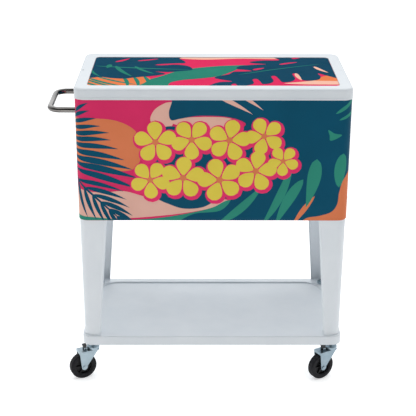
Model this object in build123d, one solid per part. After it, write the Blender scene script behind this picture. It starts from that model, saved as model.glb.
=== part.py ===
from build123d import *
import os
from math import atan, cos, degrees, radians, sin

# Patio cooler on wheels: an insulated steel cabinet on four pressed legs, a hinged lid,
# a towel-bar handle on the left, a drain on the right, a lower shelf and four swivel casters.
# Millimetres, +Z up, +Y towards the hinges, +X towards the drain.

# ---------------------------------------------------------------- driving dimensions
# cabinet
cabinet_length = 761.0
cabinet_depth = 404.0
cabinet_height = 355.4
corner_radius = 28.0
shell_wall = 0.8
cut_over = 1.0

# bottom pan
pan_recess = 6.0
pan_wall = 0.8
pan_flange = 12.0

# tub
tub_side_foam = 30.5
tub_floor_foam = 18.0
tub_draft = 5.0
tub_corner_radius = 30.0
tub_floor_radius = 6.0
tub_wall = 2.5
rim_plate = 3.0
rim_lip_drop = 5.8
rim_lip_wall = 1.2
rim_lip_gap = 0.3

# lid
lid_gap = 0.6
lid_overhang_x = 1.5
lid_overhang_y = 2.0
lid_height = 25.4
lid_edge_radius = 7.0
lid_wall = 2.6
lid_side_border = 34.5
lid_front_border = 35.0
lid_rear_border = 49.0
lid_recess = 3.0
lid_recess_radius = 14.0
panel_thickness = 1.2
panel_gap = 0.4
inner_panel_wall = 2.0
plug_drop = 10.0
plug_gap = 5.0
plug_edge_radius = 4.0
seal_height = 1.2
seal_width = 7.0
seal_lift = 0.2
seal_overlap = 15.0
dimple_radius = 7.0
dimple_depth = 1.2
dimple_offset = 13.5
vent_radius = 3.0
vent_sink = 0.6
vent_offset = 9.5

# hinges
hinge_inset = 145.5
hinge_width = 60.0
hinge_leaf = 1.6
hinge_pin_radius = 2.0
hinge_pin_head = 1.5
hinge_pin_flange = 1.0
hinge_pin_spare = 0.6
hinge_knuckle_radius = 4.0
hinge_knuckle_gap = 0.3
hinge_pin_gap = 0.05
hinge_lower_leaf_height = 26.0
hinge_lower_leaf_gap = 0.4
hinge_upper_leaf_rise = 3.5
hinge_upper_leaf_gap = 1.0
hinge_stand_off = 5.4
hinge_screw_spacing = 36.0
hinge_screw_drop = 2.0
screw_radius = 2.0
screw_gap = 0.1
screw_length = 9.0
screw_head_radius = 4.2
screw_head_height = 2.4
screw_head_round = 1.2

# legs
leg_height = 369.0
leg_inset = 1.7
leg_foot_inset_x = 3.8
leg_foot_inset_y = 5.6
leg_top_width_x = 78.0
leg_top_width_y = 62.0
leg_foot_width_x = 48.0
leg_foot_width_y = 41.0
leg_wall = 1.2
leg_outer_radius = 26.0
leg_fold_radius = 8.0
leg_return = 9.0
leg_plate = 1.6
leg_bolt_radius = 3.0
leg_bolt_grip = 5.0
bolt_flats = 10.0
bolt_head = 4.0
bolt_gap = 0.2
bolt_end_gap = 1.0
bolt_far_share = 0.68
bolt_near_share = 0.34
foot_plate = 3.0

# lower shelf
shelf_overhang = 1.5
shelf_skirt = 27.7
shelf_wall = 1.0
shelf_edge_radius = 3.0
shelf_border = 26.0
shelf_step = 5.0
shelf_recess_radius = 62.0
shelf_hem = 9.0
block_width = 46.0
block_depth = 40.0
block_radius = 8.0
block_inset_x = 1.0
block_inset_y = 4.0

# handle
handle_drop = 61.4
handle_spread = 196.0
handle_reach = 90.0
handle_radius = 8.0
handle_wall = 1.2
handle_bend = 32.0
collar_flange = 4.0
collar_thickness = 2.5
collar_round = 1.0
insert_length = 18.0
insert_blind = 3.0
handle_bolt_radius = 3.0
pocket_radius = 7.0

# drain
drain_y = -90.0
drain_rise = 12.0
drain_bore = 4.5
drain_radius = 7.0
drain_gap = 0.1
drain_flange_radius = 9.5
drain_flange = 2.0
drain_reach = 9.0
drain_nut_radius = 12.5
drain_nut_height = 3.0
drain_cap_radius = 10.5
drain_cap_wall = 2.5
drain_cap_gap = 0.4
drain_gasket_height = 1.0
drain_seat_depth = 0.6
drain_seat_gap = 0.4
drain_seat_reach = 12.0
drain_cap_chamfer = 1.0
grip_count = 12
grip_radius = 1.4

# casters
wheel_radius = 40.0
wheel_width = 22.0
tyre_thickness = 12.0
tyre_shoulder = 4.0
tread_place = 4.0
tread_width = 1.0
tread_depth = 0.8
rim_wall = 3.0
rim_inset = 2.0
web_half = 2.0
rib_half = 1.0
rib_count = 6
rib_root = 2.0
stem_inset_x = 26.0
stem_inset_y = 41.5
stem_radius = 5.0
stem_gap = 0.1
stem_head_radius = 8.0
stem_head = 3.0
stem_spare = 4.0
caster_trail = 34.0
caster_room = 21.9
plate_over_wheel = 8.5
fork_plate = 2.5
fork_wall = 2.0
fork_side_gap = 3.5
fork_tail_reach = 14.0
fork_nose = 15.0
fork_nose_radius = 6.0
fork_toe_radius = 9.0
fork_toe_turn = 15.0
fork_lip = 5.0
race_radius = 18.0
race_height = 4.0
cup_overhang = 1.0
cup_height = 4.6
cup_round = 2.0
race_gap = 0.3
axle_radius = 4.0
running_gap = 0.05
hub_boss_radius = 9.0
side_gap = 0.3
nut_flats = 17.0
nut_height = 8.0
axle_flats = 12.0
axle_nut = 4.5
axle_spare = 1.5
axle_rivet_radius = 5.2
axle_rivet = 2.2
brake_lead = 7.0
brake_width = 12.0
brake_pivot_rise = 4.5
brake_pin_radius = 1.8
brake_barrel_radius = 3.0
brake_ear = 1.6
brake_ear_half = 4.0
brake_ear_root = 0.5
brake_pin_spare = 0.6
brake_pedal_rise = 5.1
brake_pedal = 3.0
brake_pedal_front = 5.0
brake_pedal_back = 7.0
brake_neck_half = 4.0
brake_neck_rise = 2.0
pedal_rib_count = 3
pedal_rib_pitch = 4.0
pedal_rib_width = 1.5
pedal_rib_height = 1.0
pedal_rib_margin = 1.0
brake_shoe_gap = 1.0
brake_slot_gap = 2.2
brake_slot_side = 1.0
front_left_swing = 25.0
front_right_swing = 31.0
rear_left_swing = 155.0
rear_right_swing = -31.0

# ---------------------------------------------------------------- worked-out places
# heights, from the floor up
fork_plate_z = 2 * wheel_radius + plate_over_wheel
race_low = fork_plate_z + fork_plate
race_top = race_low + race_height
cup_low = race_top + race_gap
cup_top = cup_low + cup_height
brake_pivot_z = race_low + brake_pivot_rise
brake_pedal_z = cup_top + brake_pedal_rise
skirt_bottom = cup_top + caster_room
block_bottom = skirt_bottom + shelf_wall
shelf_top = skirt_bottom + shelf_skirt
deck_z = shelf_top - shelf_step
cabinet_bottom = shelf_top + leg_height
pan_bottom = cabinet_bottom + pan_recess
pan_top = pan_bottom + pan_wall
tub_floor_z = cabinet_bottom + tub_floor_foam
tub_outer_bottom = tub_floor_z - tub_wall
drain_z = tub_floor_z + drain_rise
shell_top = cabinet_bottom + cabinet_height
handle_height = shell_top - handle_drop
rim_top = shell_top + rim_plate
rim_underside = shell_top
lid_bottom = rim_top + lid_gap
lid_top = lid_bottom + lid_height
lid_roof = lid_top - lid_recess - lid_wall
panel_top = lid_top - lid_recess + panel_thickness

# plan sizes
tub_length = cabinet_length - 2 * tub_side_foam
tub_width = cabinet_depth - 2 * tub_side_foam
rim_length = cabinet_length + 2 * (rim_lip_gap + rim_lip_wall)
rim_depth = cabinet_depth + 2 * (rim_lip_gap + rim_lip_wall)
lid_length = cabinet_length + 2 * lid_overhang_x
lid_depth = cabinet_depth + 2 * lid_overhang_y
shelf_length = cabinet_length + 2 * shelf_overhang
shelf_depth = cabinet_depth + 2 * shelf_overhang
stem_x = shelf_length / 2 - stem_inset_x
stem_y = shelf_depth / 2 - stem_inset_y
hinge_place = cabinet_length / 2 - hinge_inset
hinge_y = lid_depth / 2 + hinge_stand_off
hinge_z = (rim_top + lid_bottom) / 2
handle_end_x = -cabinet_length / 2 - handle_reach
drain_end_x = cabinet_length / 2 + drain_reach + drain_cap_wall + drain_cap_gap
tub_end_x = tub_length / 2
fork_width = wheel_width + 2 * (fork_side_gap + fork_wall)
fork_tail = caster_trail + fork_tail_reach
brake_place = caster_trail - brake_lead
# The origin stands on the floor under the middle of the whole cart, handle and drain included.
origin_x = (handle_end_x + drain_end_x) / 2

os.makedirs("parts", exist_ok=True)


# ---------------------------------------------------------------- shared helpers
def save(name, *solids):
    """Write one node, moved to the cart's own origin."""
    moved = [Pos(-origin_x, 0, 0) * solid for solid in solids]
    shape = moved[0] if len(moved) == 1 else Compound(children=moved)
    export_step(shape, f"parts/{name}.step")


def slab(length, depth, radius, low, high):
    """Upright block with rounded corners, centred on the cabinet."""
    return Pos(0, 0, low) * extrude(RectangleRounded(length, depth, radius), high - low)


def box(x0, x1, y0, y1, z0, z1):
    """Plain block between two corners."""
    middle = Pos((x0 + x1) / 2, (y0 + y1) / 2, (z0 + z1) / 2)
    return middle * Box(x1 - x0, y1 - y0, z1 - z0)


def rod_z(radius, x, y, low, high):
    """Upright round bar."""
    return Pos(x, y, (low + high) / 2) * Cylinder(radius, high - low)


def rod_x(radius, y, z, low, high):
    """Round bar along X."""
    return Pos((low + high) / 2, y, z) * Rot(0, 90, 0) * Cylinder(radius, high - low)


def rod_y(radius, x, z, low, high):
    """Round bar along Y."""
    return Pos(x, (low + high) / 2, z) * Rot(90, 0, 0) * Cylinder(radius, high - low)


def hex_bar(flats, height):
    """Hexagonal bar on the XY plane, rising from zero."""
    return extrude(RegularPolygon(flats / 2, 6, major_radius=False), height)


def outline_prism(points, low, high):
    """Closed outline in the XZ plane, extruded along Y from low to high."""
    face = make_face(Polyline(*[(x, 0, z) for x, z in points], close=True))
    return Pos(0, low, 0) * extrude(face, high - low, dir=(0, 1, 0))


def corners():
    """The four corners: name, X sign, Y sign."""
    return [
        ("front_left", -1, -1),
        ("front_right", 1, -1),
        ("rear_left", -1, 1),
        ("rear_right", 1, 1),
    ]


def flipped(shape, sign_x, sign_y):
    """Copy a front-left shape to another corner."""
    if sign_x > 0:
        shape = mirror(shape, about=Plane.YZ)
    if sign_y > 0:
        shape = mirror(shape, about=Plane.XZ)
    return shape


# ---------------------------------------------------------------- legs
def leg_outline(top, shrink):
    """Closed plan outline of a front-left leg at its top or foot, taken in by shrink."""
    inset_x = leg_inset if top else leg_foot_inset_x
    inset_y = leg_inset if top else leg_foot_inset_y
    width_x = leg_top_width_x if top else leg_foot_width_x
    width_y = leg_top_width_y if top else leg_foot_width_y
    x0 = -cabinet_length / 2 + inset_x + shrink
    y0 = -cabinet_depth / 2 + inset_y + shrink
    x1 = x0 + width_x - 2 * shrink
    y1 = y0 + width_y - 2 * shrink
    outer = leg_outer_radius - shrink
    fold = leg_fold_radius - shrink
    face = make_face(Polyline((x0, y0), (x1, y0), (x1, y1), (x0, y1), close=True))
    outer_vertex = face.vertices().sort_by_distance((x0, y0))[0]
    others = face.vertices().sort_by_distance((x0, y0))[1:]
    face = fillet(outer_vertex, outer)
    folds = [v for v in face.vertices() for o in others if (v.center() - o.center()).length < 1e-6]
    return fillet(folds, fold)


def leg_solid(shrink):
    """Tapering solid between the leg's two outlines."""
    top = Pos(0, 0, pan_bottom) * leg_outline(True, shrink)
    foot = Pos(0, 0, shelf_top) * leg_outline(False, shrink)
    return loft([foot, top], ruled=True)


def leg_throat():
    """Tapering block that opens the leg's inner corner and leaves the two folded returns."""
    faces = []
    for top in (False, True):
        box_size = leg_outline(top, 0).bounding_box()
        x0 = box_size.min.X + leg_return
        y0 = box_size.min.Y + leg_return
        x1 = box_size.max.X + leg_wall
        y1 = box_size.max.Y + leg_wall
        face = make_face(Polyline((x0, y0), (x1, y0), (x1, y1), (x0, y1), close=True))
        faces.append(Pos(0, 0, pan_bottom if top else shelf_top) * face)
    return loft(faces, ruled=True)


def bolt_places():
    """The two bolts that hold a front-left leg's head to the pan."""
    x = -cabinet_length / 2 + leg_inset
    y = -cabinet_depth / 2 + leg_inset
    return [
        (x + leg_top_width_x * bolt_far_share, y + leg_top_width_y * bolt_near_share),
        (x + leg_top_width_x * bolt_near_share, y + leg_top_width_y * bolt_far_share),
    ]


leg = leg_solid(0) - leg_solid(leg_wall) - leg_throat()
leg_core = leg_solid(leg_wall)
head_plate = leg_core & box(-cabinet_length, 0, -cabinet_depth, 0, pan_bottom - leg_plate, pan_bottom)
foot_plate_solid = leg_core & box(-cabinet_length, 0, -cabinet_depth, 0, shelf_top, shelf_top + foot_plate)
for x, y in bolt_places():
    head_plate -= rod_z(leg_bolt_radius + bolt_gap, x, y, pan_bottom - leg_plate, pan_bottom)
foot_plate_solid -= rod_z(stem_radius + stem_gap, -stem_x, -stem_y, shelf_top, shelf_top + foot_plate)
foot_plate_solid -= slab(
    shelf_length - 2 * shelf_border, shelf_depth - 2 * shelf_border, shelf_recess_radius,
    shelf_top, shelf_top + foot_plate,
)

bolt_low = pan_bottom - leg_plate
leg_bolts_one = []
for x, y in bolt_places():
    head = Pos(x, y, bolt_low - bolt_head) * hex_bar(bolt_flats, bolt_head)
    shank = rod_z(leg_bolt_radius, x, y, bolt_low, pan_top + leg_bolt_grip)
    leg_bolts_one.append(head + shank)

for name, sign_x, sign_y in corners():
    save(f"leg_{name}", flipped(leg, sign_x, sign_y))
save("leg_head_plates", *[flipped(head_plate, sx, sy) for _, sx, sy in corners()])
save("leg_foot_plates", *[flipped(foot_plate_solid, sx, sy) for _, sx, sy in corners()])
save("leg_bolts", *[flipped(bolt, sx, sy) for _, sx, sy in corners() for bolt in leg_bolts_one])

# ---------------------------------------------------------------- handle
handle_x0 = -cabinet_length / 2
handle_tip = handle_end_x + handle_radius
arm_y = handle_spread / 2
handle_path = FilletPolyline(
    (handle_x0, -arm_y, handle_height),
    (handle_tip, -arm_y, handle_height),
    (handle_tip, arm_y, handle_height),
    (handle_x0, arm_y, handle_height),
    radius=handle_bend,
)
start = Plane(origin=(handle_x0, -arm_y, handle_height), z_dir=(-1, 0, 0))
tube = sweep(start * Circle(handle_radius), path=handle_path)
tube -= sweep(start * Circle(handle_radius - handle_wall), path=handle_path)
save("handle_tube", tube)

collar_cut = handle_x0 - collar_thickness - cut_over
collars = []
inserts = []
handle_bolts = []
handle_holes = []
insert_end = handle_x0 - insert_length
bolt_seat = handle_x0 + shell_wall
for side in (-1, 1):
    y = side * arm_y
    collar_radius = handle_radius + collar_flange
    collar = rod_x(collar_radius, y, handle_height, handle_x0 - collar_thickness, handle_x0)
    collar = fillet(collar.edges().filter_by(GeomType.CIRCLE).sort_by(Axis.X)[0], collar_round)
    collar -= rod_x(handle_radius + running_gap, y, handle_height, collar_cut, handle_x0)
    collars.append(collar)
    insert = rod_x(handle_radius - handle_wall, y, handle_height, insert_end, handle_x0)
    insert -= rod_x(handle_bolt_radius + running_gap, y, handle_height, insert_end, handle_x0)
    inserts.append(insert)
    bolt = rod_x(handle_bolt_radius, y, handle_height, insert_end + insert_blind, bolt_seat)
    head = Pos(bolt_seat, y, handle_height) * Rot(0, 90, 0) * hex_bar(bolt_flats, bolt_head)
    handle_bolts.append(bolt + head)
    hole_radius = handle_bolt_radius + bolt_gap
    hole = rod_x(hole_radius, y, handle_height, handle_x0 - cut_over, bolt_seat + cut_over)
    handle_holes.append(hole)
save("handle_collars", *collars)
save("handle_inserts", *inserts)
save("handle_bolts", *handle_bolts)

# ---------------------------------------------------------------- hinges
leaf_low_y = cabinet_depth / 2


def hinge_knuckles(x, spans):
    """Knuckles of one leaf on the hinge axis, bored for the pin."""
    shape = None
    for low, high in spans:
        knuckle = rod_x(hinge_knuckle_radius, hinge_y, hinge_z, x + low, x + high)
        shape = knuckle if shape is None else shape + knuckle
    return shape


def hinge_bore(x):
    """Hole for the pin with its running clearance."""
    reach = hinge_width / 2 + cut_over
    return rod_x(hinge_pin_radius + hinge_pin_gap, hinge_y, hinge_z, x - reach, x + reach)


third = hinge_width / 3
inner_end = third / 2 + hinge_knuckle_gap
lower_spans = [(-hinge_width / 2, -inner_end), (inner_end, hinge_width / 2)]
upper_spans = [(-third / 2, third / 2)]
lower_leaves = []
upper_leaves = []
hinge_pins = []
lower_screws = []
upper_screws = []
hinge_holes = []
lid_screw_holes = []
upper_leaf_low = lid_bottom + hinge_upper_leaf_rise
upper_leaf_high = lid_top - lid_edge_radius - hinge_upper_leaf_gap
lower_leaf_high = rim_top - rim_lip_drop - hinge_lower_leaf_gap
lower_leaf_low = lower_leaf_high - hinge_lower_leaf_height
lid_back = lid_depth / 2
for side in (-1, 1):
    x = side * hinge_place
    x0 = x - hinge_width / 2
    x1 = x + hinge_width / 2
    leaf = box(x0, x1, leaf_low_y, leaf_low_y + hinge_leaf, lower_leaf_low, lower_leaf_high)
    for low, high in lower_spans:
        arm = box(x + low, x + high, leaf_low_y, hinge_y, lower_leaf_high - hinge_leaf, lower_leaf_high)
        post = box(
            x + low, x + high, hinge_y - hinge_leaf + hinge_knuckle_radius,
            hinge_y + hinge_knuckle_radius, lower_leaf_high - hinge_leaf, hinge_z,
        )
        ledge = box(
            x + low, x + high, hinge_y, hinge_y + hinge_knuckle_radius,
            lower_leaf_high - hinge_leaf, lower_leaf_high,
        )
        leaf = leaf + arm + ledge + post
    leaf += hinge_knuckles(x, lower_spans)
    leaf -= hinge_bore(x)
    upper = box(x0, x1, lid_back, lid_back + hinge_leaf, upper_leaf_low, upper_leaf_high)
    tongue = box(
        x - third / 2, x + third / 2, lid_back, hinge_y + hinge_knuckle_radius - hinge_leaf,
        upper_leaf_low, upper_leaf_low + hinge_leaf,
    )
    upper = upper + tongue + hinge_knuckles(x, upper_spans) - hinge_bore(x)
    for turn in (-1, 1):
        sx = x + turn * hinge_screw_spacing / 2
        low_z = (lower_leaf_low + lower_leaf_high) / 2 - hinge_screw_drop
        high_z = (upper_leaf_low + upper_leaf_high) / 2
        leaf -= rod_y(screw_radius + screw_gap, sx, low_z, leaf_low_y, leaf_low_y + hinge_leaf)
        upper -= rod_y(screw_radius + screw_gap, sx, high_z, lid_back, lid_back + hinge_leaf)
        y_low = leaf_low_y + hinge_leaf
        y_high = lid_back + hinge_leaf
        low_head = rod_y(screw_head_radius, sx, low_z, y_low, y_low + screw_head_height)
        high_head = rod_y(screw_head_radius, sx, high_z, y_high, y_high + screw_head_height)
        low_head = fillet(low_head.edges().sort_by(Axis.Y)[-1], screw_head_round)
        high_head = fillet(high_head.edges().sort_by(Axis.Y)[-1], screw_head_round)
        lower_screws.append(low_head + rod_y(screw_radius, sx, low_z, leaf_low_y - screw_length, y_low))
        upper_screws.append(high_head + rod_y(screw_radius, sx, high_z, lid_back - lid_wall, y_high))
        hole_radius = screw_radius + screw_gap
        hole_low = leaf_low_y - screw_length - cut_over
        hinge_holes.append(rod_y(hole_radius, sx, low_z, hole_low, leaf_low_y + cut_over))
        lid_hole_low = lid_back - lid_wall
        lid_screw_holes.append(rod_y(hole_radius, sx, high_z, lid_hole_low, lid_back + cut_over))
    lower_leaves.append(leaf)
    upper_leaves.append(upper)
    pin_reach = hinge_width / 2 + hinge_pin_spare
    pin = rod_x(hinge_pin_radius, hinge_y, hinge_z, x - pin_reach, x + pin_reach)
    for head_x in (x - pin_reach - hinge_pin_head, x + pin_reach):
        head_radius = hinge_pin_radius + hinge_pin_flange
        pin += rod_x(head_radius, hinge_y, hinge_z, head_x, head_x + hinge_pin_head)
    hinge_pins.append(pin)
save("hinge_lower_leaves", *lower_leaves)
save("hinge_upper_leaves", *upper_leaves)
save("hinge_pins", *hinge_pins)
save("hinge_lower_screws", *lower_screws)
save("hinge_upper_screws", *upper_screws)

# ---------------------------------------------------------------- tub and drain
def tub_block(grow, floor, top):
    """Tapering tub shape with a sharp floor edge, grown outwards by grow."""
    radius = tub_corner_radius + grow - tub_draft
    base_grow = 2 * (grow - tub_draft)
    base = RectangleRounded(tub_length + base_grow, tub_width + base_grow, radius)
    draft_angle = degrees(atan(tub_draft / (rim_top - tub_floor_z)))
    return Pos(0, 0, floor) * extrude(base, top - floor, taper=-draft_angle)


def tub_solid(grow, floor, top):
    """Tapering tub shape with its floor edge rounded."""
    block = tub_block(grow, floor, top)
    return fillet(block.faces().sort_by(Axis.Z)[0].edges(), tub_floor_radius + grow)


drain_wall_x = tub_end_x - tub_draft * (rim_top - drain_z) / (rim_top - tub_floor_z)
drain_face_x = drain_wall_x + drain_seat_depth
drain_tip_x = cabinet_length / 2 + drain_reach
tub_outer = tub_solid(tub_wall, tub_outer_bottom, rim_underside)
tub_inner = tub_solid(0, tub_floor_z, rim_top)
rim = slab(rim_length, rim_depth, corner_radius + rim_lip_gap + rim_lip_wall, rim_top - rim_lip_drop, rim_top)
rim -= slab(
    cabinet_length + 2 * rim_lip_gap, cabinet_depth + 2 * rim_lip_gap, corner_radius + rim_lip_gap,
    rim_top - rim_lip_drop, rim_underside,
)
liner = rim + tub_outer - tub_inner
drain_seat_radius = drain_flange_radius + drain_seat_gap
liner -= rod_x(drain_seat_radius, drain_y, drain_z, drain_face_x - drain_seat_reach, drain_face_x)
drain_hole_end = tub_end_x + tub_wall + cut_over
liner -= rod_x(drain_radius + drain_gap, drain_y, drain_z, drain_face_x - cut_over, drain_hole_end)
save("inner_liner", liner)

drain_seat_x = drain_face_x - drain_gasket_height
drain = rod_x(drain_flange_radius, drain_y, drain_z, drain_seat_x - drain_flange, drain_seat_x)
drain += rod_x(drain_radius, drain_y, drain_z, drain_seat_x, drain_tip_x)
drain_bore_start = drain_seat_x - drain_flange - cut_over
drain -= rod_x(drain_bore, drain_y, drain_z, drain_bore_start, drain_tip_x + cut_over)
save("drain_body", drain)
gasket = rod_x(drain_flange_radius, drain_y, drain_z, drain_seat_x, drain_face_x)
gasket -= rod_x(drain_radius + running_gap, drain_y, drain_z, drain_seat_x, drain_face_x)
save("drain_gasket", gasket)
nut_x = cabinet_length / 2
drain_nut = rod_x(drain_nut_radius, drain_y, drain_z, nut_x, nut_x + drain_nut_height)
drain_nut -= rod_x(drain_radius + running_gap, drain_y, drain_z, nut_x, nut_x + drain_nut_height)
save("drain_nut", drain_nut)

cap_x0 = nut_x + drain_nut_height + drain_cap_gap
cap = rod_x(drain_cap_radius, drain_y, drain_z, cap_x0, drain_end_x)
cap = chamfer(cap.edges().filter_by(GeomType.CIRCLE).sort_by(Axis.X)[-1], drain_cap_chamfer)
cap -= rod_x(drain_radius + drain_cap_gap, drain_y, drain_z, cap_x0, drain_tip_x + drain_cap_gap)
grip_circle = drain_cap_radius + grip_radius / 2
for i in range(grip_count):
    angle = radians(360 * i / grip_count)
    y = drain_y + grip_circle * cos(angle)
    z = drain_z + grip_circle * sin(angle)
    cap -= rod_x(grip_radius, y, z, cap_x0, drain_end_x)
save("drain_cap", cap)

# ---------------------------------------------------------------- cabinet shell, pan and foam
shell = slab(cabinet_length, cabinet_depth, corner_radius, cabinet_bottom, shell_top)
shell_inner_length = cabinet_length - 2 * shell_wall
shell_inner_depth = cabinet_depth - 2 * shell_wall
shell_inner_radius = corner_radius - shell_wall
shell -= slab(shell_inner_length, shell_inner_depth, shell_inner_radius, cabinet_bottom, shell_top)
for hole in handle_holes + hinge_holes:
    shell -= hole
shell_cut = nut_x - shell_wall - cut_over
shell -= rod_x(drain_radius + drain_gap, drain_y, drain_z, shell_cut, nut_x + cut_over)
save("outer_shell", shell)

pan = slab(
    shell_inner_length, shell_inner_depth, shell_inner_radius, pan_bottom, pan_bottom + pan_flange
)
pan -= slab(
    shell_inner_length - 2 * pan_wall, shell_inner_depth - 2 * pan_wall, shell_inner_radius - pan_wall,
    pan_top, pan_bottom + pan_flange,
)
foam = slab(shell_inner_length, shell_inner_depth, shell_inner_radius, pan_bottom, rim_underside)
foam -= pan
foam -= tub_block(tub_wall, tub_outer_bottom, rim_underside)
for x, y in bolt_places():
    for _, sign_x, sign_y in corners():
        at_x = -sign_x * x
        at_y = -sign_y * y
        pan -= rod_z(leg_bolt_radius + bolt_gap, at_x, at_y, pan_bottom, pan_top)
        bolt_room_top = pan_top + leg_bolt_grip + bolt_end_gap
        foam -= rod_z(leg_bolt_radius + 2 * bolt_gap, at_x, at_y, pan_top, bolt_room_top)
for hole in handle_holes + hinge_holes:
    foam -= hole
for side in (-1, 1):
    pocket_end = bolt_seat + bolt_head + bolt_end_gap
    foam -= rod_x(pocket_radius, side * arm_y, handle_height, handle_x0, pocket_end)
foam -= rod_x(drain_radius + 2 * drain_gap, drain_y, drain_z, drain_face_x, nut_x + cut_over)
save("bottom_pan", pan)
save("foam_insulation", foam)

# ---------------------------------------------------------------- lid
panel_length = lid_length - 2 * lid_side_border
panel_depth = lid_depth - lid_front_border - lid_rear_border
panel_y = (lid_front_border - lid_rear_border) / 2
lid_shell = slab(lid_length, lid_depth, corner_radius, lid_bottom, lid_top)
lid_shell = fillet(lid_shell.faces().sort_by(Axis.Z)[-1].edges(), lid_edge_radius)
cavity_length = lid_length - 2 * lid_wall
cavity_depth = lid_depth - 2 * lid_wall
cavity_radius = corner_radius - lid_wall
lid_shell -= slab(cavity_length, cavity_depth, cavity_radius, lid_bottom, lid_roof)
recess = slab(panel_length, panel_depth, lid_recess_radius, lid_top - lid_recess, lid_top)
lid_shell -= Pos(0, panel_y, 0) * recess
sphere_radius = (dimple_radius**2 + dimple_depth**2) / (2 * dimple_depth)
dimple_x = lid_length / 2 - dimple_offset
vent_x = vent_offset - lid_length / 2
lid_shell -= Pos(dimple_x, 0, lid_top + sphere_radius - dimple_depth) * Sphere(sphere_radius)
lid_shell -= rod_z(vent_radius + running_gap, vent_x, 0, lid_roof, lid_top)
for hole in lid_screw_holes:
    lid_shell -= hole
save("lid_shell", lid_shell)
lid_panel = slab(
    panel_length - 2 * panel_gap, panel_depth - 2 * panel_gap, lid_recess_radius - panel_gap,
    lid_top - lid_recess, panel_top,
)
save("lid_panel", Pos(0, panel_y, 0) * lid_panel)
vent = rod_z(vent_radius, vent_x, 0, lid_roof, lid_top - vent_sink)
save("lid_vent_plug", vent)

inner_low = lid_bottom + seal_height + seal_lift - lid_gap
inner_high = inner_low + inner_panel_wall
plug_length = tub_length - 2 * plug_gap
plug_width = tub_width - 2 * plug_gap
plug_radius = tub_corner_radius - plug_gap
plug_bottom = inner_low - plug_drop
inner_panel = slab(cavity_length, cavity_depth, cavity_radius, inner_low, inner_high)
plug = slab(plug_length, plug_width, plug_radius, plug_bottom, inner_low)
plug = fillet(plug.faces().sort_by(Axis.Z)[0].edges(), plug_edge_radius)
inner_panel += plug
plug_hollow = slab(
    plug_length - 2 * inner_panel_wall, plug_width - 2 * inner_panel_wall,
    plug_radius - inner_panel_wall, plug_bottom + inner_panel_wall, inner_high,
)
inner_panel -= plug_hollow
save("lid_inner_panel", inner_panel)
lid_foam = slab(cavity_length, cavity_depth, cavity_radius, inner_high, lid_roof) + plug_hollow
save("lid_foam", lid_foam)
seal_length = tub_length + 2 * seal_overlap
seal_depth = tub_width + 2 * seal_overlap
seal_radius = tub_corner_radius + seal_overlap
seal = slab(seal_length, seal_depth, seal_radius, inner_low - seal_height, inner_low)
seal -= slab(
    seal_length - 2 * seal_width, seal_depth - 2 * seal_width, seal_radius - seal_width,
    inner_low - seal_height, inner_low,
)
save("lid_seal", seal)

# ---------------------------------------------------------------- lower shelf
shelf = slab(shelf_length, shelf_depth, corner_radius, skirt_bottom, shelf_top)
shelf = fillet(shelf.faces().sort_by(Axis.Z)[-1].edges(), shelf_edge_radius)
shelf -= slab(
    shelf_length - 2 * shelf_wall, shelf_depth - 2 * shelf_wall, corner_radius - shelf_wall,
    skirt_bottom + shelf_wall, shelf_top - shelf_wall,
)
shelf -= slab(
    shelf_length - 2 * shelf_hem, shelf_depth - 2 * shelf_hem, corner_radius - shelf_hem,
    skirt_bottom, skirt_bottom + shelf_wall,
)
recess_length = shelf_length - 2 * shelf_border
recess_depth = shelf_depth - 2 * shelf_border
shelf += slab(
    recess_length + 2 * shelf_wall, recess_depth + 2 * shelf_wall, shelf_recess_radius + shelf_wall,
    deck_z - shelf_wall, shelf_top - shelf_wall,
)
shelf -= slab(recess_length, recess_depth, shelf_recess_radius, deck_z, shelf_top)
blocks = []
for _, sign_x, sign_y in corners():
    x = sign_x * stem_x
    y = sign_y * stem_y
    shelf -= rod_z(stem_radius + stem_gap, x, y, deck_z, shelf_top)
    block_x = sign_x * (shelf_length / 2 - shelf_wall - block_width / 2 - block_inset_x)
    block_y = sign_y * (shelf_depth / 2 - shelf_wall - block_depth / 2 - block_inset_y)
    block = Pos(block_x, block_y, block_bottom) * extrude(
        RectangleRounded(block_width, block_depth, block_radius), shelf_top - shelf_wall - block_bottom
    )
    pan_corner = slab(
        recess_length + 2 * shelf_wall, recess_depth + 2 * shelf_wall, shelf_recess_radius + shelf_wall,
        deck_z - shelf_wall, shelf_top,
    )
    skirt_room = slab(
        shelf_length - 2 * shelf_wall, shelf_depth - 2 * shelf_wall, corner_radius - shelf_wall,
        skirt_bottom, shelf_top,
    )
    block = (block & skirt_room) - pan_corner
    blocks.append(block - rod_z(stem_radius + stem_gap, x, y, block_bottom, shelf_top))
save("lower_shelf", shelf)
save("shelf_corner_blocks", *blocks)

# ---------------------------------------------------------------- casters
foot_nut_low = shelf_top + foot_plate
stem_top = foot_nut_low + nut_height + stem_spare
stems = []
lock_nuts = []
foot_nuts = []
for _, sign_x, sign_y in corners():
    x = sign_x * stem_x
    y = sign_y * stem_y
    stem = rod_z(stem_radius, x, y, fork_plate_z - race_gap, stem_top)
    head_top = fork_plate_z - race_gap
    stem += rod_z(stem_head_radius, x, y, head_top - stem_head, head_top)
    cup = rod_z(race_radius + cup_overhang, x, y, cup_low, cup_top)
    cup = fillet(cup.edges().filter_by(GeomType.CIRCLE).sort_by(Axis.Z)[-1], cup_round)
    stems.append(stem + cup)
    hole = rod_z(stem_radius + running_gap, x, y, 0, stem_top)
    lock_nuts.append(Pos(x, y, block_bottom - nut_height) * hex_bar(nut_flats, nut_height) - hole)
    foot_nuts.append(Pos(x, y, foot_nut_low) * hex_bar(nut_flats, nut_height) - hole)
save("caster_stems", *stems)
save("caster_lock_nuts", *lock_nuts)
save("caster_top_nuts", *foot_nuts)


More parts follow.
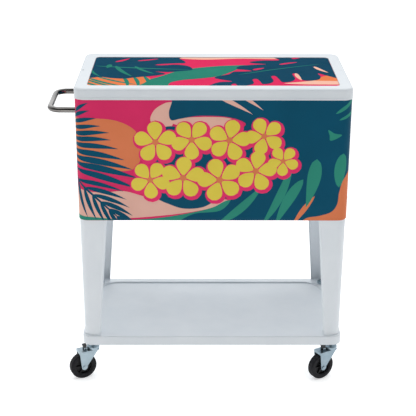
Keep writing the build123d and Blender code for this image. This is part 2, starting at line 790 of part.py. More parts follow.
def caster_fork(braked):
    """Pressed fork, stem on the Z axis and the wheel trailing towards -X."""
    half = fork_width / 2
    nose = fork_nose_radius
    shape = box(-fork_tail, fork_nose - nose, -half, half, fork_plate_z, race_low)
    shape += box(0, fork_nose, nose - half, half - nose, fork_plate_z, race_low)
    for side in (-1, 1):
        shape += rod_z(nose, fork_nose - nose, side * (half - nose), fork_plate_z, race_low)
    shape += box(-fork_tail, -fork_tail + fork_wall, -half, half, fork_plate_z - fork_lip, fork_plate_z)
    toe = fork_toe_radius
    toe_turn = radians(fork_toe_turn)
    for side in (-1, 1):
        outer = side * half
        inner = side * (half - fork_wall)
        low = min(outer, inner)
        high = max(outer, inner)
        cheek = outline_prism(
            [
                (-fork_tail, fork_plate_z),
                (-caster_trail - toe, wheel_radius),
                (-caster_trail + toe * cos(toe_turn), wheel_radius + toe * sin(toe_turn)),
                (fork_nose - nose, fork_plate_z),
            ],
            low, high,
        )
        cheek += rod_y(toe, -caster_trail, wheel_radius, low, high)
        shape += cheek
    shape += rod_z(race_radius, 0, 0, race_low, race_top)
    shape -= rod_z(stem_radius + running_gap, 0, 0, fork_plate_z - cut_over, race_top + cut_over)
    shape -= rod_y(axle_radius, -caster_trail, wheel_radius, -half - cut_over, half + cut_over)
    if braked:
        slot = brake_width / 2 + brake_slot_side
        reach = fork_wall / 2 + brake_slot_gap
        shape -= box(
            -brake_place - reach, -brake_place + reach, -slot, slot,
            fork_plate_z - cut_over, race_top + cut_over,
        )
        for side in (-1, 1):
            y0 = side * (brake_width / 2 + side_gap)
            y1 = side * (brake_width / 2 + side_gap + brake_ear)
            shape += box(
                -brake_place - brake_ear_half, -brake_place + brake_ear_half, min(y0, y1), max(y0, y1),
                race_low - brake_ear_root, brake_pivot_z + brake_ear_half,
            )
        shape -= rod_y(brake_pin_radius + running_gap, -brake_place, brake_pivot_z, -half, half)
    return shape


def caster_hub():
    """Moulded wheel centre with a rim, a web on each side's middle and a bored boss."""
    rim_radius = wheel_radius - tyre_thickness
    half = wheel_width / 2
    boss_half = fork_width / 2 - fork_wall - side_gap
    hub = rod_y(rim_radius, 0, 0, -half + rim_inset, half - rim_inset)
    hub -= rod_y(rim_radius - rim_wall, 0, 0, web_half, half)
    hub -= rod_y(rim_radius - rim_wall, 0, 0, -half, -web_half)
    hub += rod_y(hub_boss_radius, 0, 0, -boss_half, boss_half)
    rib_reach = half - 2 * rim_inset
    rib_start = hub_boss_radius - rib_root
    rib = box(rib_start, rim_radius - rib_root, -rib_reach, rib_reach, -rib_half, rib_half)
    for i in range(rib_count):
        hub += Rot(0, 360 * i / rib_count, 0) * rib
    return hub - rod_y(axle_radius + running_gap, 0, 0, -fork_width / 2, fork_width / 2)


def caster_tyre():
    """Rubber tread ring with rounded shoulders and two fine tread grooves."""
    half = wheel_width / 2
    tyre = rod_y(wheel_radius, 0, 0, -half, half)
    tyre = fillet(tyre.edges().filter_by(GeomType.CIRCLE), tyre_shoulder)
    for y in (-tread_place, tread_place):
        low = y - tread_width / 2
        groove = rod_y(wheel_radius + cut_over, 0, 0, low, low + tread_width)
        groove -= rod_y(wheel_radius - tread_depth, 0, 0, low, low + tread_width)
        tyre -= groove
    return tyre - rod_y(wheel_radius - tyre_thickness, 0, 0, -half - cut_over, half + cut_over)


def caster_axle():
    """Axle that carries the wheel, with a low rivet head on the -Y side and a nut on the other."""
    half = fork_width / 2
    head = rod_y(axle_rivet_radius, 0, 0, -half - axle_rivet, -half)
    head = fillet(head.edges().filter_by(GeomType.CIRCLE).sort_by(Axis.Y)[0], axle_rivet / 2)
    bolt = head + rod_y(axle_radius, 0, 0, -half, half + axle_nut + axle_spare)
    nut = Pos(0, half + axle_nut, 0) * Rot(90, 0, 0) * hex_bar(axle_flats, axle_nut)
    nut -= rod_y(axle_radius, 0, 0, half - cut_over, half + axle_nut + cut_over)
    return [bolt, nut]


def caster_brake():
    """Toggle brake: a ribbed pedal over the plate, a web through its slot and a shoe."""
    half = brake_width / 2
    x = -brake_place
    pedal_top = brake_pedal_z + brake_pedal
    pedal = box(x - brake_pedal_back, x + brake_pedal_front, -half, half, brake_pedal_z, pedal_top)
    neck = brake_neck_half
    pedal += box(x - neck, x + neck, -half, half, brake_pivot_z + brake_neck_rise, brake_pedal_z)
    for i in range(pedal_rib_count):
        rib = x - brake_pedal_back + pedal_rib_margin + i * pedal_rib_pitch
        pedal += box(rib, rib + pedal_rib_width, -half, half, pedal_top, pedal_top + pedal_rib_height)
    shoe_z = 2 * wheel_radius + brake_shoe_gap
    web = box(x - fork_wall / 2, x + fork_wall / 2, -half, half, shoe_z, brake_pedal_z)
    barrel = rod_y(brake_barrel_radius, x, brake_pivot_z, -half, half)
    pin_reach = half + side_gap + brake_ear + brake_pin_spare
    pin = rod_y(brake_pin_radius, x, brake_pivot_z, -pin_reach, pin_reach)
    return pedal + web + barrel + pin


swings = {
    "front_left": front_left_swing,
    "front_right": front_right_swing,
    "rear_left": rear_left_swing,
    "rear_right": rear_right_swing,
}
for name, sign_x, sign_y in corners():
    braked = sign_y < 0
    place = Pos(sign_x * stem_x, sign_y * stem_y, 0) * Rot(0, 0, swings[name])
    wheel_place = place * Pos(-caster_trail, 0, wheel_radius)
    save(f"caster_{name}_fork", place * caster_fork(braked))
    save(f"caster_{name}_hub", wheel_place * caster_hub())
    save(f"caster_{name}_tyre", wheel_place * caster_tyre())
    save(f"caster_{name}_axle", *[wheel_place * piece for piece in caster_axle()])
    if braked:
        save(f"caster_{name}_brake", place * caster_brake())
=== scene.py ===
from math import cos, pi, radians, sin

import bmesh
import bpy
from mathutils import Matrix, Vector


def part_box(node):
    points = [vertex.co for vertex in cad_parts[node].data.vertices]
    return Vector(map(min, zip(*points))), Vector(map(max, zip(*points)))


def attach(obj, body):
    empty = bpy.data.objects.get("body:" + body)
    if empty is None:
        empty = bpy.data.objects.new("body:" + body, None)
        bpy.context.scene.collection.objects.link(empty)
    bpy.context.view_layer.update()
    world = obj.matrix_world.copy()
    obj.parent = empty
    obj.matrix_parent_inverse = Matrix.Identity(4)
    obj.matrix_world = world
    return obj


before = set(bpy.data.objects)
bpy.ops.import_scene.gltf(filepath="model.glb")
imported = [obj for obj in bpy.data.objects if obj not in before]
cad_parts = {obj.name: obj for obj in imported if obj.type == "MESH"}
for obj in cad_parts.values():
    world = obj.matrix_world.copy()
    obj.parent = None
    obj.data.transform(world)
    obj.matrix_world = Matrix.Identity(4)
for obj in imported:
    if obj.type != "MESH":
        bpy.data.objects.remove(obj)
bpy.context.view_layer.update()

MM = 0.001

# ---------------------------------------------------------------- floor, light and camera
# A white studio sweep: a pale matt floor that runs past the view, a surround that is bright behind
# the cart and dim in front of it, and one large soft light above the lid.


def hex_color(text):
    """sRGB hex text as a linear colour."""
    channels = [int(text[i:i + 2], 16) / 255 for i in (1, 3, 5)]
    linear = [c / 12.92 if c <= 0.04045 else ((c + 0.055) / 1.055) ** 2.4 for c in channels]
    return (*linear, 1.0)


def add_node(owner, kind, settings=None, **inputs):
    """Add a node to a material or the surround, set its fields, and link or set its inputs by name."""
    node = owner.node_tree.nodes.new(kind)
    for field, value in (settings or {}).items():
        setattr(node, field, value)
    for name, value in inputs.items():
        if isinstance(value, bpy.types.NodeSocket):
            owner.node_tree.links.new(value, node.inputs[name])
        else:
            node.inputs[name].default_value = value
    return node


def new_mesh_object(name, bm, smooth_angle=35):
    """Finish a bmesh as an object at the origin, smooth except at its sharp edges."""
    mesh = bpy.data.meshes.new(name)
    bm.to_mesh(mesh)
    bm.free()
    piece = bpy.data.objects.new(name, mesh)
    bpy.context.scene.collection.objects.link(piece)
    for polygon in mesh.polygons:
        polygon.use_smooth = True
    mesh.set_sharp_from_angle(angle=radians(smooth_angle))
    return piece


floor_reach = 30
floor_white = (0.93, 0.93, 0.93, 1)
floor_glow = 0.5
floor_bm = bmesh.new()
bmesh.ops.create_grid(floor_bm, x_segments=1, y_segments=1, size=floor_reach)
floor = new_mesh_object("studio_floor", floor_bm)
floor_paint = bpy.data.materials.new("studio_floor_matt_white")
floor_paint.use_nodes = True
floor_shader = floor_paint.node_tree.nodes["Principled BSDF"]
floor_shader.inputs["Base Color"].default_value = floor_white
floor_shader.inputs["Roughness"].default_value = 0.9
floor_shader.inputs["Specular IOR Level"].default_value = 0.1
floor_shader.inputs["Emission Color"].default_value = (1, 1, 1, 1)
floor_shader.inputs["Emission Strength"].default_value = floor_glow
floor.data.materials.append(floor_paint)

surround_front = 0.16
surround_back = 1.15
surround_turn = 0.7
world = bpy.data.worlds.new("studio_surround")
bpy.context.scene.world = world
world.use_nodes = True
background = world.node_tree.nodes["Background"]
background.inputs["Color"].default_value = (0.97, 0.985, 1, 1)
direction = add_node(world, "ShaderNodeTexCoord").outputs["Generated"]
towards = add_node(world, "ShaderNodeSeparateXYZ", Vector=direction).outputs["Y"]
surround = add_node(
    world, "ShaderNodeMapRange", {"interpolation_type": "SMOOTHSTEP"}, Value=towards,
    **{
        "From Min": -surround_turn, "From Max": surround_turn,
        "To Min": surround_front, "To Max": surround_back,
    },
)
world.node_tree.links.new(surround.outputs["Result"], background.inputs["Strength"])

lamp = bpy.data.lights.new("soft_top", "AREA")
lamp.energy = 46
lamp.size = 3.2
lamp_object = bpy.data.objects.new("soft_top", lamp)
bpy.context.scene.collection.objects.link(lamp_object)
lamp_object.location = (-0.1, -0.5, 3.2)

bpy.context.scene.view_settings.view_transform = "Standard"
camera_place = (-0.0066, -3.1612, 1.7147)
camera_yaw = -0.6117
camera_down = 21.378
camera_roll = 0.282
camera_data = bpy.data.cameras.new("camera")
camera_data.sensor_width = 36
camera_data.lens = 97.54
camera = bpy.data.objects.new("camera", camera_data)
bpy.context.scene.collection.objects.link(camera)
camera.matrix_world = (
    Matrix.Translation(camera_place)
    @ Matrix.Rotation(radians(camera_yaw), 4, "Z")
    @ Matrix.Rotation(radians(90 - camera_down), 4, "X")
    @ Matrix.Rotation(radians(camera_roll), 4, "Z")
)
bpy.context.scene.camera = camera

# ---------------------------------------------------------------- white powder-coated steel
# Legs, lower shelf, bottom pan and welded plates are pressed mild-steel sheet, powder coated white
# and baked, which leaves a fine orange peel (drawn 1.6 mm wide) and a soft sheen.


def give(material, *nodes):
    """Put a material on CAD nodes."""
    for name in nodes:
        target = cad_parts[name]
        target.data.materials.clear()
        target.data.materials.append(material)


def coat_material(name, base, shade, roughness, peel_mm, peel_depth, metallic=0.0, spec=0.5):
    """Opaque surface with slow colour drift, patchy roughness and a fine texture of a real size."""
    material = bpy.data.materials.new(name)
    material.use_nodes = True
    shader = material.node_tree.nodes["Principled BSDF"]
    place = add_node(material, "ShaderNodeTexCoord").outputs["Object"]
    drift = add_node(material, "ShaderNodeTexNoise", Vector=place, Scale=7.0, Detail=4.0, Roughness=0.6)
    tint = add_node(material, "ShaderNodeMix", {"data_type": "RGBA"})
    links = material.node_tree.links
    ramp = add_node(
        material, "ShaderNodeMapRange", Value=drift.outputs["Fac"],
        **{"From Min": 0.35, "From Max": 0.7, "To Min": 0.0, "To Max": 1.0},
    )
    links.new(ramp.outputs["Result"], tint.inputs[0])
    tint.inputs[6].default_value = hex_color(base)
    tint.inputs[7].default_value = hex_color(shade)
    links.new(tint.outputs[2], shader.inputs["Base Color"])
    patch = add_node(material, "ShaderNodeTexNoise", Vector=place, Scale=40.0, Detail=3.0)
    rough = add_node(
        material, "ShaderNodeMapRange", Value=patch.outputs["Fac"],
        **{"To Min": roughness - 0.06, "To Max": roughness + 0.08},
    )
    links.new(rough.outputs["Result"], shader.inputs["Roughness"])
    peel = add_node(material, "ShaderNodeTexNoise", Vector=place, Scale=1 / (peel_mm * MM), Detail=2.0)
    bump = add_node(
        material, "ShaderNodeBump", Height=peel.outputs["Fac"], Strength=0.35, Distance=peel_depth * MM
    )
    links.new(bump.outputs["Normal"], shader.inputs["Normal"])
    shader.inputs["Metallic"].default_value = metallic
    shader.inputs["Specular IOR Level"].default_value = spec
    return material


powder_white = coat_material(
    "powder_coated_steel_white", "#E3E8EC", "#DCE2E7", 0.42, 1.6, 0.08, spec=0.35
)
give(
    powder_white, "bottom_pan", "leg_front_left", "leg_front_right", "leg_rear_left", "leg_rear_right",
    "leg_head_plates", "leg_foot_plates", "lower_shelf",
)

# ---------------------------------------------------------------- white mouldings
# The tub, its rim, the lid shell and the inner lid panel are injection-moulded polypropylene,
# satin white, with the faint grain of a spark-eroded mould. The shelf's corner blocks are plain
# nylon, and the foam between the walls is cut urethane.
moulded_white = coat_material(
    "moulded_polypropylene_white", "#D8DDE1", "#D2D8DD", 0.38, 0.9, 0.05, spec=0.35
)
give(moulded_white, "inner_liner", "lid_shell", "lid_inner_panel")
nylon_block = coat_material(
    "moulded_nylon_natural", "#E3E3DE", "#DADAD3", 0.55, 1.2, 0.08, spec=0.4
)
give(nylon_block, "shelf_corner_blocks")
foam_skin = coat_material("cut_urethane_foam", "#E9DFA9", "#DCCB8A", 0.9, 2.0, 0.6, spec=0.2)
give(foam_skin, "foam_insulation", "lid_foam")

# ---------------------------------------------------------------- printed steel shell
# The cabinet's outer skin is one wrap of steel sheet, satin printed with leaves, waves and flowers.
# The ground colour is the sheet's own coat, and each further ink is a thin closed layer over it.
ink_grain_mm = 2.2
ink_grain_depth_mm = 0.04


def ink_material(name, base, shade, roughness=0.48, spec=0.08):
    """Opaque screen ink with the faint grain of the coat under it."""
    return coat_material(
        f"printed_ink_{name}", base, shade, roughness, ink_grain_mm, ink_grain_depth_mm, spec=spec
    )


ink_magenta = ink_material("magenta", "#D93065", "#D22C60")
ink_teal = ink_material("teal", "#004D68", "#004861", roughness=0.46)
ink_green = ink_material("green", "#308C78", "#2D8572")
ink_orange = ink_material("orange", "#DC7E55", "#D5784E")
ink_peach = ink_material("peach", "#E4B4A5", "#DDAC9C")
ink_yellow = ink_material("yellow", "#E2CE50", "#DBC649")
ink_outline = ink_material("bright_magenta", "#E5346D", "#DE3067")
give(ink_magenta, "outer_shell")

shell_low, shell_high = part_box("outer_shell")
shell_mid = (Vector(shell_low) + Vector(shell_high)) / 2
half_length = (shell_high[0] - shell_low[0]) / 2
half_depth = (shell_high[1] - shell_low[1]) / 2
corner = 28 * MM
rim_lip_drop = 5.8 * MM
flat_half = half_length - corner
side_half = half_depth - corner
turn_length = corner * pi / 2
half_wrap = 2 * flat_half + 2 * side_half + 2 * turn_length
rim_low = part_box("inner_liner")[1][2] - rim_lip_drop
shell_height = rim_low - shell_low[2]


def wrap(u, v, h):
    """Place of a print point on the shell: u along the wrap from the front's middle, v up, h outwards."""
    z = shell_low[2] + v
    sign = 1 if u >= 0 else -1
    along = abs(u)
    if along <= flat_half:
        x = along
        y = -half_depth - h
    elif along <= flat_half + turn_length:
        angle = (along - flat_half) / corner
        x = flat_half + (corner + h) * sin(angle)
        y = -side_half - (corner + h) * cos(angle)
    else:
        x = half_length + h
        y = -side_half + (along - flat_half - turn_length)
    return (shell_mid.x + sign * x, shell_mid.y + y, z)


def catmull(points, steps=7):
    """Smooth closed line through a few points."""
    count = len(points)
    out = []
    for i in range(count):
        p0, p1, p2, p3 = (points[(i + k - 1) % count] for k in range(4))
        for j in range(steps):
            t = j / steps
            out.append(tuple(
                0.5 * (
                    2 * p1[a] + (p2[a] - p0[a]) * t
                    + (2 * p0[a] - 5 * p1[a] + 4 * p2[a] - p3[a]) * t * t
                    + (3 * p1[a] - p0[a] - 3 * p2[a] + p3[a]) * t ** 3
                )
                for a in (0, 1)
            ))
    return out


def stroke(base, tip, width, bow=0.0, skew=0.7, power=1.0, steps=14):
    """Leaf or brush stroke from base to tip; bow bends it, skew moves its widest place to the base."""
    b = Vector(base)
    t = Vector(tip)
    along = t - b
    across = Vector((-along.y, along.x)).normalized()
    middle = (b + t) / 2 + across * bow
    left = []
    right = []
    for i in range(1, steps):
        s = i / steps
        point = b * (1 - s) ** 2 + middle * 2 * s * (1 - s) + t * s * s
        tangent = (middle - b) * (1 - s) + (t - middle) * s
        side = Vector((-tangent.y, tangent.x)).normalized()
        half = width / 2 * sin(pi * s ** skew) ** power
        left.append(tuple(point + side * half))
        right.append(tuple(point - side * half))
    return [tuple(b)] + right + [tuple(t)] + left[::-1]


def flower(centre, radius, turn, grow=0.0):
    """Five broad round-ended petals of a blossom, grown outwards by grow."""
    petals = []
    for i in range(5):
        angle = turn + 2 * pi * i / 5
        ahead = Vector((cos(angle), sin(angle)))
        start = Vector(centre) + ahead * (0.1 * radius - grow)
        end = Vector(centre) + ahead * (radius + grow)
        petals.append(
            stroke(tuple(start), tuple(end), 0.68 * radius + 2 * grow, skew=1.5, power=0.55, steps=18)
        )
    return petals


def disc(centre, radius, steps=24):
    """Round spot."""
    return [
        (centre[0] + radius * cos(2 * pi * i / steps), centre[1] + radius * sin(2 * pi * i / steps))
        for i in range(steps)
    ]


ink_low = 0.03
ink_first = 0.14
ink_step = 0.06
ink_shape_step = 0.0015


def printed(name, material, shapes, level, place, cuts, clips, body):
    """Thin closed ink layer from flat outlines, cut for the corners and clipped to the printed area."""
    bm = bmesh.new()
    for index, shape in enumerate(shapes):
        flat = bmesh.new()
        verts = [flat.verts.new((x * MM, y * MM, 0)) for x, y in shape]
        flat.faces.new(verts).normal_update()
        bmesh.ops.triangulate(flat, faces=flat.faces[:], ngon_method="EAR_CLIP")
        for point, normal in clips:
            geom = flat.verts[:] + flat.edges[:] + flat.faces[:]
            bmesh.ops.bisect_plane(flat, geom=geom, plane_co=point, plane_no=normal, clear_outer=True)
        for u in cuts:
            geom = flat.verts[:] + flat.edges[:] + flat.faces[:]
            bmesh.ops.bisect_plane(flat, geom=geom, plane_co=(u, 0, 0), plane_no=(1, 0, 0))
        if not flat.faces:
            flat.free()
            continue
        bmesh.ops.recalc_face_normals(flat, faces=flat.faces[:])
        if flat.faces[0].normal.z < 0:
            bmesh.ops.reverse_faces(flat, faces=flat.faces[:])
        high = (ink_first + ink_step * level + ink_shape_step * index) * MM
        for vert in flat.verts:
            vert.co.z = ink_low * MM
        raised = bmesh.ops.extrude_face_region(flat, geom=flat.faces[:])
        for item in raised["geom"]:
            if isinstance(item, bmesh.types.BMVert):
                item.co.z = high
        bmesh.ops.recalc_face_normals(flat, faces=flat.faces[:])
        for vert in flat.verts:
            vert.co = place(vert.co.x, vert.co.y, vert.co.z)
        mesh = bpy.data.meshes.new("flat")
        flat.to_mesh(mesh)
        flat.free()
        bm.from_mesh(mesh)
        bpy.data.meshes.remove(mesh)
    piece = new_mesh_object(name, bm, 30)
    piece.data.materials.append(material)
    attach(piece, body)


turn_steps = 10
turn_cuts = [
    sign * (flat_half + turn_length * i / turn_steps) for sign in (-1, 1) for i in range(turn_steps + 1)
]
edge = 0.4 * MM
wrap_clips = [
    ((0, edge, 0), (0, -1, 0)),
    ((0, shell_height - edge, 0), (0, 1, 0)),
    ((-half_wrap / 2, 0, 0), (-1, 0, 0)),
    ((half_wrap / 2, 0, 0), (1, 0, 0)),
]


def wrapped_back(u, v, h):
    """The same print turned half way round the cabinet."""
    x, y, z = wrap(u, v, h)
    return (2 * shell_mid.x - x, 2 * shell_mid.y - y, z)


orange_shapes = [
    catmull([(-620, 284), (-480, 300), (-380, 300), (-320, 300), (-262, 292), (-216, 266), (-198, 222),
             (-206, 172), (-232, 150), (-300, 150), (-390, 176), (-500, 168), (-620, 150)]),
]
peach_shapes = [
    catmull([(-620, 70), (-500, 92), (-400, 96), (-320, 84), (-250, 88), (-190, 72), (-120, 62), (-30, 66),
             (40, 62), (20, 44), (-60, 26), (-150, 14), (-260, 6), (-400, 6), (-620, 6)]),
    catmull([(-96, 372), (-106, 350), (-132, 344), (-160, 326), (-173, 300), (-164, 280), (-138, 270),
             (-112, 282), (-120, 312), (-108, 340), (-60, 372)]),
    catmull([(-118, 290), (-80, 302), (-20, 305), (40, 302), (78, 286), (50, 274), (0, 270), (-60, 272)]),
]
teal_shapes = [
    catmull([(-106, 380), (-114, 346), (-122, 318), (-116, 296), (-90, 300), (-40, 308), (30, 306),
             (76, 294), (86, 280), (40, 262), (-60, 258), (-110, 278), (-150, 268), (-170, 230),
             (-160, 170), (-170, 110), (-160, 70), (-120, 48), (-80, 36), (-30, 40), (10, 60), (50, 66),
             (20, 30), (-60, 18), (-90, -20), (120, -34), (300, -34), (420, -34), (480, 60), (470, 160),
             (500, 250), (480, 380), (200, 384), (0, 384)]),
]
peach_strokes = [
    stroke((-6, 372), (108, 312), 13, bow=5),
    stroke((62, 372), (136, 324), 10, bow=4),
]
green_under = [
    catmull([(-620, 16), (-480, 20), (-340, 10), (-250, 2), (-150, 8), (-60, 24), (0, 40), (50, 62),
             (110, 30), (60, -20), (-200, -20), (-620, -20)]),
]
green_streaks = [
    stroke((176, -18), (252, 124), 30, bow=12, skew=1.5, power=0.6),
    stroke((134, -20), (222, 186), 24, bow=-26, skew=1.0),
    stroke((8, -14), (142, 112), 24, bow=-22, skew=0.9),
    stroke((262, 40), (288, 184), 38, bow=-8, skew=1.7, power=0.5),
    stroke((352, 100), (362, 200), 34, bow=6, skew=1.2, power=0.5),
    stroke((334, 314), (402, 366), 10, bow=-4),
    stroke((344, 296), (420, 336), 9, bow=-4),
    catmull([(316, 268), (334, 258), (354, 254), (338, 242), (322, 238), (320, 252)], 5),
    stroke((470, 60), (540, 210), 34, bow=12, skew=1.4, power=0.6),
]
orange_wedge = [
    stroke((226, -12), (286, 74), 15, bow=2, skew=1.1, power=0.7),
    catmull([(240, -24), (262, 6), (300, 14), (334, 26), (350, 50), (354, 86), (366, 124), (400, 150),
             (480, 156), (620, 130), (620, -30), (400, -40), (300, -34)]),
]
palm_tips = [
    ((-386, 314), (-342, 344), 10), ((-392, 300), (-340, 322), 11), ((-398, 284), (-322, 300), 12),
    ((-400, 268), (-310, 278), 12), ((-402, 252), (-286, 259), 14), ((-402, 238), (-282, 238), 14),
    ((-402, 224), (-262, 212), 15), ((-402, 208), (-246, 180), 17), ((-400, 190), (-224, 152), 18),
    ((-396, 172), (-208, 126), 19), ((-392, 154), (-214, 96), 18),
]
palm_rib_x = -402
palm_far_share = 0.8
palm_shapes = [stroke((palm_rib_x, 340), (-396, 96), 12, bow=-6, skew=0.6, power=0.6)]
for root, tip, width in palm_tips:
    palm_shapes.append(stroke(root, tip, width, bow=7, skew=0.8))
    away = (palm_rib_x - (tip[0] - palm_rib_x) * palm_far_share, tip[1] + 6)
    palm_shapes.append(stroke((palm_rib_x, root[1]), away, width, bow=-7, skew=0.8))
low_rib = (Vector((-394, 132)), Vector((-250, -8)))
low_palm = [stroke(tuple(low_rib[0]), tuple(low_rib[1]), 6, power=0.5)]
low_palm_pairs = 6
for i in range(low_palm_pairs):
    root = low_rib[0].lerp(low_rib[1], (i + 0.5) / (low_palm_pairs + 0.5))
    low_palm.append(stroke(tuple(root), (root.x + 132 - 14 * i, root.y - 34 - 3 * i), 13, bow=8))
    low_palm.append(stroke(tuple(root), (root.x + 30 + 3 * i, root.y - 112 + 12 * i), 11, bow=-7))
side_leaf = [catmull([
    (440, 200), (470, 236), (452, 262), (488, 268), (478, 300), (516, 296), (524, 330), (560, 306),
    (610, 330), (620, 180), (566, 196), (548, 160), (516, 186), (486, 162), (474, 196),
])]
flower_places = [
    ((-160, 232), 60, 0.35), ((-60, 240), 58, 0.95), ((44, 238), 60, 0.1), ((140, 250), 54, 0.7),
    ((-176, 122), 56, 1.0), ((-84, 128), 62, 0.25), ((18, 122), 64, 0.6), ((118, 148), 60, 0.15),
    ((194, 178), 44, 0.9),
]
outline_shapes = []
yellow_shapes = []
flower_hearts = []
for centre, radius, turn in flower_places:
    outline_shapes += flower((centre[0] + 3, centre[1] - 4), radius, turn, 7)
    yellow_shapes += flower(centre, radius, turn)
    flower_hearts.append(disc(centre, radius * 0.15))

front_layers = (
    ("orange", ink_orange, orange_shapes, 0),
    ("peach", ink_peach, peach_shapes, 1),
    ("green_wave", ink_green, green_under, 2),
    ("teal_field", ink_teal, teal_shapes, 3),
    ("peach_strokes", ink_peach, peach_strokes, 4),
    ("green_streaks", ink_green, green_streaks, 4),
    ("orange_wedge", ink_orange, orange_wedge, 4),
    ("palms", ink_teal, palm_shapes + low_palm + side_leaf, 5),
    ("flower_outline", ink_outline, outline_shapes, 6),
    ("flower_yellow", ink_yellow, yellow_shapes, 8),
    ("flower_hearts", ink_orange, flower_hearts, 11),
)
for layer, ink, shapes, level in front_layers:
    for side, place in (("front", wrap), ("back", wrapped_back)):
        printed(
            f"print_{side}_{layer}", ink, shapes, level, place, turn_cuts, wrap_clips, "cabinet",
        )

# ---------------------------------------------------------------- printed lid panel
# A thin printed plastic sheet bonded in the lid's recess, in inks of the same family on a pink
# ground. It faces the light, so its inks are matt.
lid_matt = 0.7
lid_spec = 0.02
lid_pink = ink_material("pink_lid", "#DB2A5C", "#D42657", lid_matt, lid_spec)
lid_teal = ink_material("teal_lid", "#00425C", "#003D55", lid_matt, lid_spec)
lid_green = ink_material("green_lid", "#257F6C", "#227865", lid_matt, lid_spec)
lid_orange = ink_material("orange_lid", "#E27C4C", "#DA7444", lid_matt, lid_spec)
lid_peach = ink_material("peach_lid", "#EDB9A3", "#E6B09A", lid_matt, lid_spec)
give(lid_pink, "lid_panel")
panel_low, panel_high = (Vector(c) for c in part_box("lid_panel"))
panel_mid = (panel_low + panel_high) / 2
panel_half = (panel_high - panel_low) / 2


def on_lid(x, y, h):
    """Place of a print point on the lid panel."""
    return (panel_mid.x + x, panel_mid.y + y, panel_high.z + h)


panel_corner = 13.6 * MM
lid_clips = []
inset = 0.3 * MM
for sx in (-1, 1):
    lid_clips.append(((sx * (panel_half.x - inset), 0, 0), (sx, 0, 0)))
    lid_clips.append(((0, sx * (panel_half.y - inset), 0), (0, sx, 0)))
    for sy in (-1, 1):
        for angle in (18, 36, 54, 72):
            nx = sx * cos(radians(angle))
            ny = sy * sin(radians(angle))
            px = sx * (panel_half.x - panel_corner) + nx * (panel_corner - inset)
            py = sy * (panel_half.y - panel_corner) + ny * (panel_corner - inset)
            lid_clips.append(((px, py, 0), (nx, ny, 0)))

left_leaf = catmull([
    (-380, 190), (-372, 40), (-352, -70), (-318, -66), (-286, -78), (-250, -84), (-222, -72), (-196, -62),
    (-158, -48), (-136, -30), (-150, -14), (-166, -4), (-128, -10), (-94, 0), (-62, 12), (-60, 34), (-72, 60),
    (-96, 74), (-132, 76), (-100, 84), (-80, 100), (-84, 122), (-98, 150), (-104, 190),
])
right_leaf = catmull([
    (-16, -176), (-2, -140), (20, -118), (52, -112), (24, -92), (4, -76), (14, -56), (44, -34), (60, -6),
    (84, -2), (112, 4), (96, 16), (74, 24), (70, 44), (88, 66), (128, 78), (158, 84), (120, 96), (112, 112),
    (150, 128), (200, 134), (190, 190), (380, 200), (376, -60), (352, -76), (326, -50), (300, -22),
    (304, -56), (296, -88), (272, -102), (250, -96), (246, -60), (240, -24), (226, -30), (230, -80),
    (216, -112), (192, -118), (184, -84), (176, -52), (164, -58), (168, -104), (156, -132), (136, -138),
    (130, -110), (122, -84), (110, -92), (112, -130), (98, -150), (70, -160), (60, -136), (50, -144),
    (46, -178), (20, -190),
])
lid_layers = (
    ("peach", lid_peach, [
        catmull([
            (-110, 190), (-96, 152), (-20, 138), (80, 150), (190, 146), (240, 168), (180, 200), (0, 210),
        ]),
        catmull([(196, -130), (240, -116), (300, -96), (370, -104), (372, -138), (300, -142), (240, -140)]),
        stroke((246, -96), (240, -10), 26, bow=-5, skew=1.2, power=0.6),
    ], 0),
    ("orange", lid_orange, [
        catmull([
            (-400, -50), (-330, -60), (-250, -74), (-196, -60), (-170, -100), (-160, -190), (-400, -200),
        ]),
        catmull([(268, -96), (300, -66), (330, -40), (380, -10), (390, -100), (330, -104)]),
    ], 1),
    ("green", lid_green, [
        catmull([
            (-226, -190), (-196, -140), (-176, -90), (-150, -60), (-100, 4), (-50, 36), (10, 58), (60, 68),
            (100, 70), (80, 40), (52, -8), (14, -56), (-40, -82), (-86, -98), (-120, -128), (-136, -190),
        ]),
        stroke((-352, -74), (-228, -178), 13, bow=-16, power=0.7),
        stroke((-350, -96), (-262, -178), 12, bow=-10, power=0.7),
        stroke((-354, -122), (-300, -178), 11, bow=-5, power=0.7),
        stroke((-330, -58), (-204, -150), 11, bow=-16, power=0.7),
        stroke((-252, -70), (-236, -178), 12, bow=10, power=0.7),
        stroke((-224, -62), (-206, -178), 12, bow=10, power=0.7),
        stroke((-196, -54), (-176, -178), 12, bow=12, power=0.7),
    ], 2),
    ("teal", lid_teal, [left_leaf, right_leaf], 3),
    ("green_rib", lid_green, [
        stroke((-346, 60), (-60, 18), 8, bow=-12, power=0.7),
        stroke((-300, 76), (-306, 36), 16, bow=3, power=0.6),
        stroke((-282, 60), (-228, -60), 14, bow=-12, power=0.6),
        stroke((-226, 56), (-166, -30), 12, bow=-12, power=0.6),
        stroke((-352, 30), (-318, -60), 9, bow=-14, power=0.6),
        stroke((70, -40), (330, 92), 5, bow=12, power=0.7),
    ], 4),
    ("pink_slits", lid_pink, [
        stroke((-286, 106), (-246, 150), 13, bow=-4, power=0.6),
        stroke((-222, 120), (-160, 146), 11, bow=-4, power=0.6),
        stroke((-168, 72), (-84, 92), 14, bow=-4, power=0.6),
        stroke((196, 78), (252, 108), 12, bow=4, power=0.6),
        stroke((116, 14), (150, 38), 14, bow=2, power=0.6),
        stroke((238, 150), (270, 170), 14, power=0.6),
    ], 5),
    ("peach_slits", lid_peach, [
        stroke((296, 56), (330, -14), 13, bow=-6, power=0.6),
    ], 5),
)
for layer, ink, shapes, level in lid_layers:
    printed(
        f"lid_print_{layer}", ink, shapes, level, on_lid, (), lid_clips, "lid"
    )

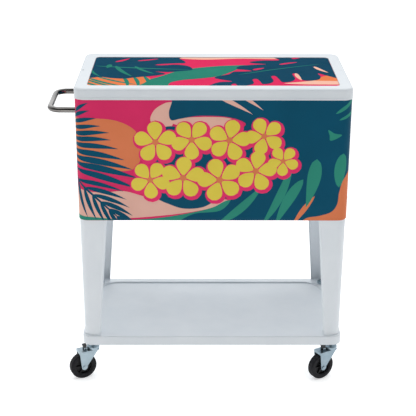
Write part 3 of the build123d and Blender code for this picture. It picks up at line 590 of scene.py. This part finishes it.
# ---------------------------------------------------------------- polished stainless handle and hinges
# The towel bar is bent stainless tube, belt polished along its length. Its colour is painted reflection:
# dark and light bands run along the tube over fine polishing streaks. Its collars, the hinges and
# their screws are stamped or turned stainless with a soft brushed face.
stainless = coat_material(
    "brushed_stainless_steel", "#A8A6A3", "#8F8D8A", 0.26, 1.2, 0.03, metallic=1.0
)
give(
    stainless, "handle_collars", "hinge_lower_leaves", "hinge_upper_leaves", "hinge_pins",
    "hinge_lower_screws", "hinge_upper_screws",
)
tube_paint_with_reflection_bands = coat_material(
    "stainless_tube_painted_reflection_bands", "#9C9A98", "#807E7C", 0.2, 1.2, 0.02, metallic=1.0
)
tube_shader = tube_paint_with_reflection_bands.node_tree.nodes["Principled BSDF"]
tube_place = add_node(tube_paint_with_reflection_bands, "ShaderNodeTexCoord").outputs["Object"]
along_tube = add_node(tube_paint_with_reflection_bands, "ShaderNodeMapping", Vector=tube_place, Scale=(5.0, 5.0, 210.0))
streak_and_reflection_noise = add_node(
    tube_paint_with_reflection_bands, "ShaderNodeTexNoise", Vector=along_tube.outputs["Vector"], Scale=1.0, Detail=3.0
)
# This ramp gives the tube all its colour: stretched noise sets fine polishing streaks, and its strong
# dark-to-light contrast is painted reflection of dark and bright surroundings.
streaks_and_painted_reflection_bands = add_node(tube_paint_with_reflection_bands, "ShaderNodeValToRGB", Fac=streak_and_reflection_noise.outputs["Fac"])
streaks_and_painted_reflection_bands.color_ramp.elements[0].position = 0.42
streaks_and_painted_reflection_bands.color_ramp.elements[0].color = hex_color("#2E2C2B")
streaks_and_painted_reflection_bands.color_ramp.elements[1].position = 0.62
streaks_and_painted_reflection_bands.color_ramp.elements[1].color = hex_color("#A09D9A")
tube_paint_with_reflection_bands.node_tree.links.new(streaks_and_painted_reflection_bands.outputs["Color"], tube_shader.inputs["Base Color"])
give(tube_paint_with_reflection_bands, "handle_tube")

# ---------------------------------------------------------------- zinc-plated steel
# Forks, stems, races, axles, nuts, bolts and the handle's inserts are pressed or turned steel, bright
# zinc plated with the faint blue of a clear passivate.
caster_corners = ("front_left", "front_right", "rear_left", "rear_right")
zinc = coat_material("zinc_plated_steel_blue", "#A9B8C0", "#8597A2", 0.34, 1.4, 0.06, metallic=1.0)
give(
    zinc, "handle_inserts", "handle_bolts", "caster_stems", "caster_lock_nuts", "caster_top_nuts",
    "leg_bolts", *[f"caster_{corner_name}_fork" for corner_name in caster_corners],
    *[f"caster_{corner_name}_axle" for corner_name in caster_corners],
)

# ---------------------------------------------------------------- wheels, brakes and drain
# Hubs and drain fittings are black moulded polypropylene. Tyres, the drain gasket, the lid's seal
# and its vent plug are black moulded rubber, and the brake levers are stamped steel in a black coat.
black_plastic = coat_material("moulded_polypropylene_black", "#161619", "#1D1D21", 0.5, 1.0, 0.08, spec=0.3)
tyre_rubber = coat_material("moulded_rubber_black", "#121116", "#19181D", 0.62, 1.4, 0.2, spec=0.25)
black_steel = coat_material("black_coated_steel", "#1D1E21", "#26272B", 0.4, 1.2, 0.06)
give(
    black_plastic, "drain_body", "drain_nut", "drain_cap",
    *[f"caster_{corner_name}_hub" for corner_name in caster_corners],
)
give(tyre_rubber, *[f"caster_{corner_name}_tyre" for corner_name in caster_corners])
give(black_steel, "caster_front_left_brake", "caster_front_right_brake")
give(tyre_rubber, "drain_gasket", "lid_seal", "lid_vent_plug")
